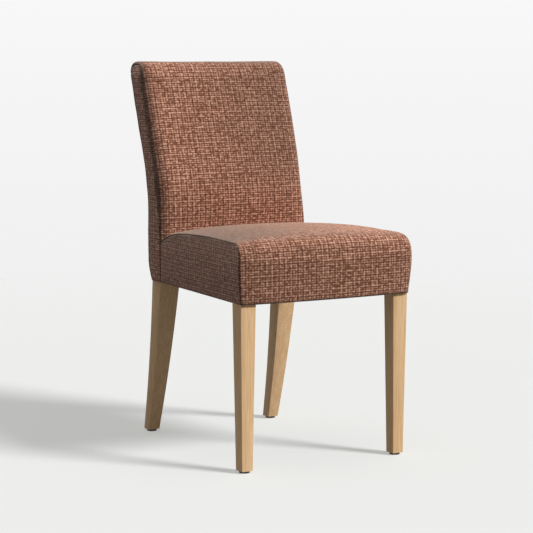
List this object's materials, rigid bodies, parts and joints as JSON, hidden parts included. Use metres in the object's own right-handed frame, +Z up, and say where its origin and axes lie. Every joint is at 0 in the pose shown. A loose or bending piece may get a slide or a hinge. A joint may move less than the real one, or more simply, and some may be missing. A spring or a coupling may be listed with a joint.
{
  "type": "parsons chair",
  "caption": "Armless upholstered dining chair for one sitter, with a crowned fabric seat, a raked padded back and tapered oak legs.",
  "frame": {"origin": "middle of the chair's footprint box, on the floor", "axes": "+Z up, the seat's front edge towards -Y, +X to the right of someone who faces the chair's front"},
  "size_m": [0.448, 0.598, 0.9],
  "materials": {
    "oak": "satin",
    "beech": "matte",
    "upholstery": "matte",
    "foam": "matte",
    "wadding": "matte",
    "webbing": "matte",
    "lining": "matte",
    "steel": "satin",
    "plastic": "matte"
  },
  "bodies": {
    "root": {"front_leg_left": "oak", "front_leg_right": "oak", "rear_leg_left": "oak", "rear_leg_right": "oak", "front_glide_left": "plastic", "front_glide_right": "plastic", "rear_glide_left": "plastic", "rear_glide_right": "plastic", "corner_block_front_left": "beech", "corner_block_front_right": "beech", "corner_block_rear_left": "beech", "corner_block_rear_right": "beech", "corner_bolt_front_left": "steel", "corner_bolt_front_right": "steel", "corner_bolt_rear_left": "steel", "corner_bolt_rear_right": "steel", "washer_front_left": "steel", "washer_front_right": "steel", "washer_rear_left": "steel", "washer_rear_right": "steel", "front_rail": "beech", "rear_rail": "beech", "side_rail_left": "beech", "side_rail_right": "beech", "crest_rail": "beech", "lower_back_rail": "beech", "seat_strap_long_1": "webbing", "seat_strap_long_2": "webbing", "seat_strap_long_3": "webbing", "seat_strap_long_4": "webbing", "seat_strap_cross_1": "webbing", "seat_strap_cross_2": "webbing", "seat_strap_cross_3": "webbing", "seat_strap_cross_4": "webbing", "back_strap_1": "webbing", "back_strap_2": "webbing", "back_strap_3": "webbing", "back_strap_4": "webbing", "seat_foam": "foam", "back_foam": "foam", "seat_front_pad": "wadding", "seat_side_pad_left": "wadding", "seat_side_pad_right": "wadding", "back_side_pad_left": "wadding", "back_side_pad_right": "wadding", "back_rear_pad": "wadding", "seat_top_cover": "upholstery", "seat_side_cover_left": "upholstery", "seat_side_cover_right": "upholstery", "back_front_cover": "upholstery", "back_outside_cover": "upholstery", "back_side_cover_left": "upholstery", "back_side_cover_right": "upholstery", "dust_cover": "lining"}
  },
  "joints": []
}
